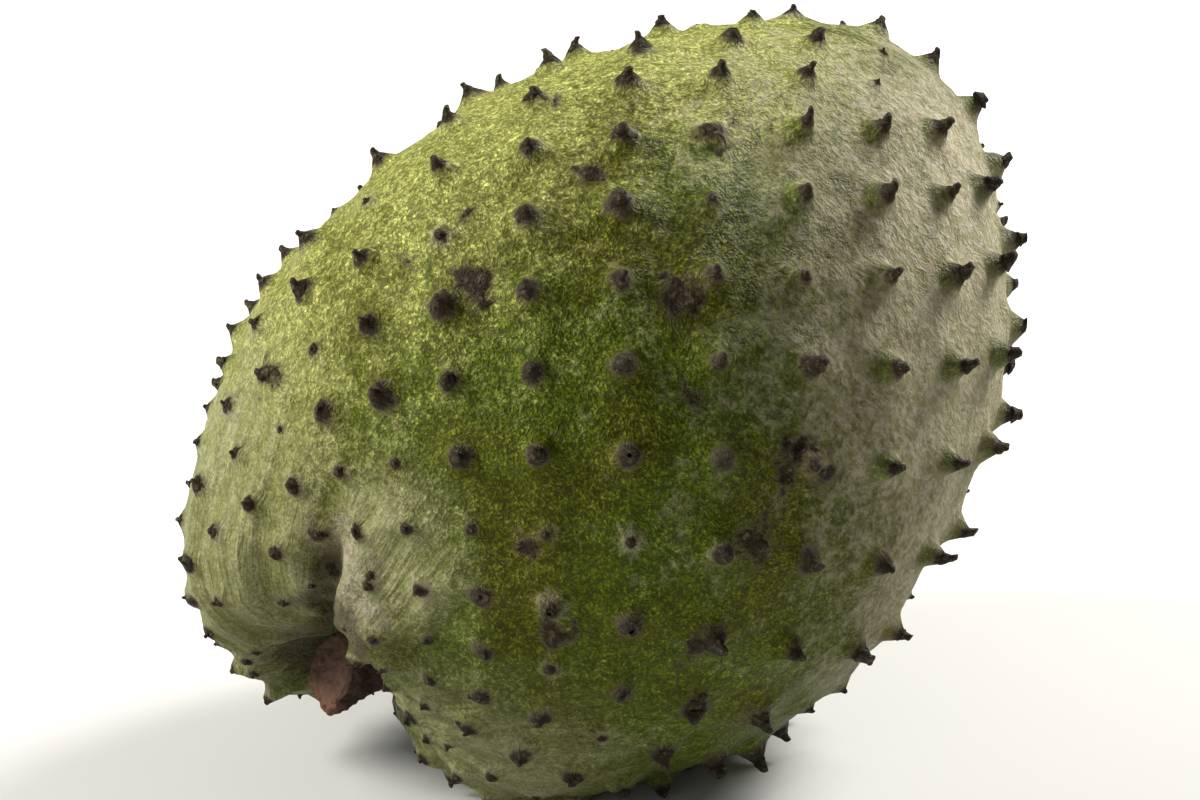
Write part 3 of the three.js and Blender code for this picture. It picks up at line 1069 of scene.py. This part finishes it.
def paint_hollow_shade(tree, colour):
    """Paints shade at the bottom of the crease, and of the hollow round the stalk."""
    deep = span(tree, attribute(tree, "hollow"), 0.15, 0.6)
    shade = blend_colours(tree, deep, WHITE, PAINTED_HOLLOW_SHADE)
    return blend_colours(tree, 1.0, colour, shade, "MULTIPLY")


def rind_relief(tree, patterns, zones, bark_height):
    """The height of the skin, the bloom, the ribs, the streaks and the bark, each in its zone."""
    skin = weighted(
        tree,
        (patterns.dome, 0.25),
        (patterns.grain, 0.2),
        (patterns.speckle, 0.6),
        (patterns.web, 0.25),
    )
    creased = weighted(tree, (patterns.creases, 1.5), (patterns.speckle, 0.6))
    return weighted(
        tree,
        (product(tree, skin, zones.pebbly), 1.0),
        (product(tree, creased, zones.bloom_and_sheen), 1.0),
        (product(tree, patterns.ribs, zones.sage), 4.5),
        (product(tree, patterns.streaks, zones.foot), 1.0),
        (product(tree, bark_height, larger(tree, zones.woody, zones.cork)), 2.2),
    )


def rind_material(settings):
    """The pebbled skin with painted glints and shade, bloom that is partly painted sheen, painted shade
    in its hollows, and scars and bark over it.
    """
    material, tree, surface = new_material("soursop rind")
    material.diffuse_color = (*settings.deep_green, 1.0)
    place = object_place(tree)
    patterns = rind_patterns(tree, place)
    zones = rind_zones(tree, patterns)
    bark, bark_height = dry_wood(tree, place, settings.bark, settings.crumbs, CRUST)
    colour = skin_colour(tree, settings, patterns, zones)
    # painted shade between the pebbles and painted glints on them
    colour = paint_pebble_shade_and_glints(tree, colour, settings, patterns, zones)
    # the bloom, its pale colour partly painted sheen of the rim light
    colour = lay_bloom_and_sheen(tree, colour, settings, patterns, zones)
    # painted shade in the crease and round the stalk
    colour = paint_hollow_shade(tree, colour)
    colour = blend_colours(tree, zones.scarred, colour, settings.scar)
    colour = blend_colours(tree, zones.woody, colour, bark)
    roughness = span(tree, larger(tree, zones.woody, zones.bloom_and_sheen), 0.0, 1.0, 0.42, 0.8)
    set_surface(tree, surface, colour, roughness, 0.1)
    set_relief(tree, surface, rind_relief(tree, patterns, zones, bark_height), 1.0, 0.55 * MM)
    return material


# ---- The other materials ----------------------------------------------------------------


def tip_material(settings):
    """The dark bark of the spines' tips."""
    material, tree, surface = new_material("spine bark")
    bark, height = dry_wood(tree, object_place(tree), settings.bark, settings.worn, TIP_BARK)
    set_surface(tree, surface, bark, 0.7, 0.12)
    set_relief(tree, surface, height, 0.9, 0.3 * MM)
    return material


def stalk_material(settings):
    """Cracked bark, a scratched cut face and a pale lip at the end."""
    material, tree, surface = new_material("stalk wood")
    place = object_place(tree)
    bark, bark_height = dry_wood(tree, place, settings.dark, settings.light, STALK_BARK)
    cut = attribute(tree, "cut")
    scratches = noise_value(tree, vector_maths(tree, "MULTIPLY", place, SCRATCHES), 1.0, 4, 0.7, 0.5)
    sawn = blend_colours(tree, span(tree, scratches, 0.32, 0.62), settings.cut_dark, settings.light)
    colour = blend_colours(tree, cut, bark, sawn)
    colour = blend_colours(tree, product(tree, attribute(tree, "end"), 0.8), colour, settings.lip)
    set_surface(tree, surface, colour, 0.75, 0.15)
    rough_bark = product(tree, bark_height, inverse(tree, cut, 0.6))
    height = weighted(tree, (scratches, 0.7), (rough_bark, 1.5))
    set_relief(tree, surface, height, 1.0, 0.8 * MM)
    return material


def floor_material(settings):
    """The plain matt floor."""
    material, tree, surface = new_material("floor")
    fill(tree, surface.inputs["Base Color"], settings.floor_colour)
    fill(tree, surface.inputs["Roughness"], 0.9)
    return material


# ---- Operators --------------------------------------------------------------------------


class SOURSOP_OT_rind(bpy.types.Operator):
    """Grow the rind with its flared spines, scabs and bloom with painted sheen, and the spines' woody
    tips
    """

    bl_idname = "soursop.rind"
    bl_label = "Grow Rind"
    bl_options = {"REGISTER", "UNDO"}

    def execute(self, context):
        settings = context.scene.soursop_rind
        tip_settings = context.scene.soursop_tips
        rind, spines, scabs = make_rind(settings)
        rind.data.materials.append(rind_material(settings))
        tips = make_tips(spines, scabs, tip_settings)
        tips.data.materials.append(tip_material(tip_settings))
        for piece in (rind, tips):
            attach(piece, "root")
        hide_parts("fruit")
        return {"FINISHED"}


class SOURSOP_OT_stalk(bpy.types.Operator):
    """Grow the woody stub of the stalk"""

    bl_idname = "soursop.stalk"
    bl_label = "Grow Stalk"
    bl_options = {"REGISTER", "UNDO"}

    def execute(self, context):
        settings = context.scene.soursop_stalk
        stalk = make_stalk(settings)
        stalk.data.materials.append(stalk_material(settings))
        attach(stalk, "root")
        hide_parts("stalk")
        return {"FINISHED"}


def add_area_light(name, place, size, power, colour):
    """A square light that faces the fruit."""
    bpy.ops.object.light_add(type="AREA", location=place)
    light = bpy.context.object
    light.name = name
    light.rotation_euler = (HEART - Vector(place)).to_track_quat("-Z", "Y").to_euler()
    light.data.size = size
    light.data.energy = power
    light.data.color = colour


def set_world(scene):
    """A faint white sky on every side."""
    scene.world = bpy.data.worlds.new("studio")
    scene.world.use_nodes = True
    sky = scene.world.node_tree.nodes["Background"]
    sky.inputs["Color"].default_value = (*WHITE, 1)
    sky.inputs["Strength"].default_value = SKY_STRENGTH


def set_camera(context, settings):
    """The camera looks level across the front, a little from above."""
    rise = settings.camera_elevation
    back = Vector((0, -math.cos(rise), math.sin(rise)))
    up = Vector((0, math.sin(rise), math.cos(rise)))
    left_by = 0.8 * MM
    down_by = 2.7 * MM
    aim = HEART - Vector((left_by, 0, 0)) - up * down_by
    bpy.ops.object.camera_add(location=aim + back * settings.camera_distance)
    camera = context.object
    camera.name = "camera"
    camera.rotation_euler = (-back).to_track_quat("-Z", "Y").to_euler()
    camera.data.lens = settings.lens
    camera.data.clip_start = 0.05
    context.scene.camera = camera


class SOURSOP_OT_stage(bpy.types.Operator):
    """Set the floor, the lights and the camera"""

    bl_idname = "soursop.stage"
    bl_label = "Set Stage"
    bl_options = {"REGISTER", "UNDO"}

    def execute(self, context):
        settings = context.scene.soursop_stage
        bpy.ops.object.select_all(action="DESELECT")
        bpy.ops.mesh.primitive_plane_add(size=settings.floor_size, location=(0, 0, 0))
        floor = context.object
        floor.name = "floor"
        floor.data.materials.append(floor_material(settings))
        for light in LIGHTS:
            add_area_light(*light)
        set_world(context.scene)
        context.scene.view_settings.view_transform = "Standard"
        set_camera(context, settings)
        return {"FINISHED"}


class SOURSOP_PT_panel(bpy.types.Panel):
    """The soursop's pieces and their settings"""

    bl_idname = "SOURSOP_PT_panel"
    bl_label = "Soursop"
    bl_space_type = "VIEW_3D"
    bl_region_type = "UI"
    bl_category = "Soursop"

    def draw(self, context):
        for operator, *owners in GROUPS:
            box = self.layout.box()
            box.operator(operator.bl_idname)
            for owner in owners:
                settings = getattr(context.scene, owner)
                for name in settings.bl_rna.properties.keys():
                    if name not in ("rna_type", "name"):
                        box.prop(settings, name)


GROUPS = (
    (SOURSOP_OT_rind, "soursop_rind", "soursop_tips"),
    (SOURSOP_OT_stalk, "soursop_stalk"),
    (SOURSOP_OT_stage, "soursop_stage"),
)
SETTINGS = {
    "soursop_rind": SoursopRindSettings,
    "soursop_tips": SoursopTipSettings,
    "soursop_stalk": SoursopStalkSettings,
    "soursop_stage": SoursopStageSettings,
}
CLASSES = (
    SoursopRindSettings,
    SoursopTipSettings,
    SoursopStalkSettings,
    SoursopStageSettings,
    SOURSOP_OT_rind,
    SOURSOP_OT_stalk,
    SOURSOP_OT_stage,
    SOURSOP_PT_panel,
)


def register():
    for cls in CLASSES:
        bpy.utils.register_class(cls)
    for owner, kind in SETTINGS.items():
        setattr(bpy.types.Scene, owner, bpy.props.PointerProperty(type=kind))


def unregister():
    for owner in SETTINGS:
        delattr(bpy.types.Scene, owner)
    for cls in reversed(CLASSES):
        bpy.utils.unregister_class(cls)


def main():
    register()
    for operator, *_ in GROUPS:
        group, name = operator.bl_idname.split(".")
        getattr(getattr(bpy.ops, group), name)()


if __name__ == "__main__":
    main()
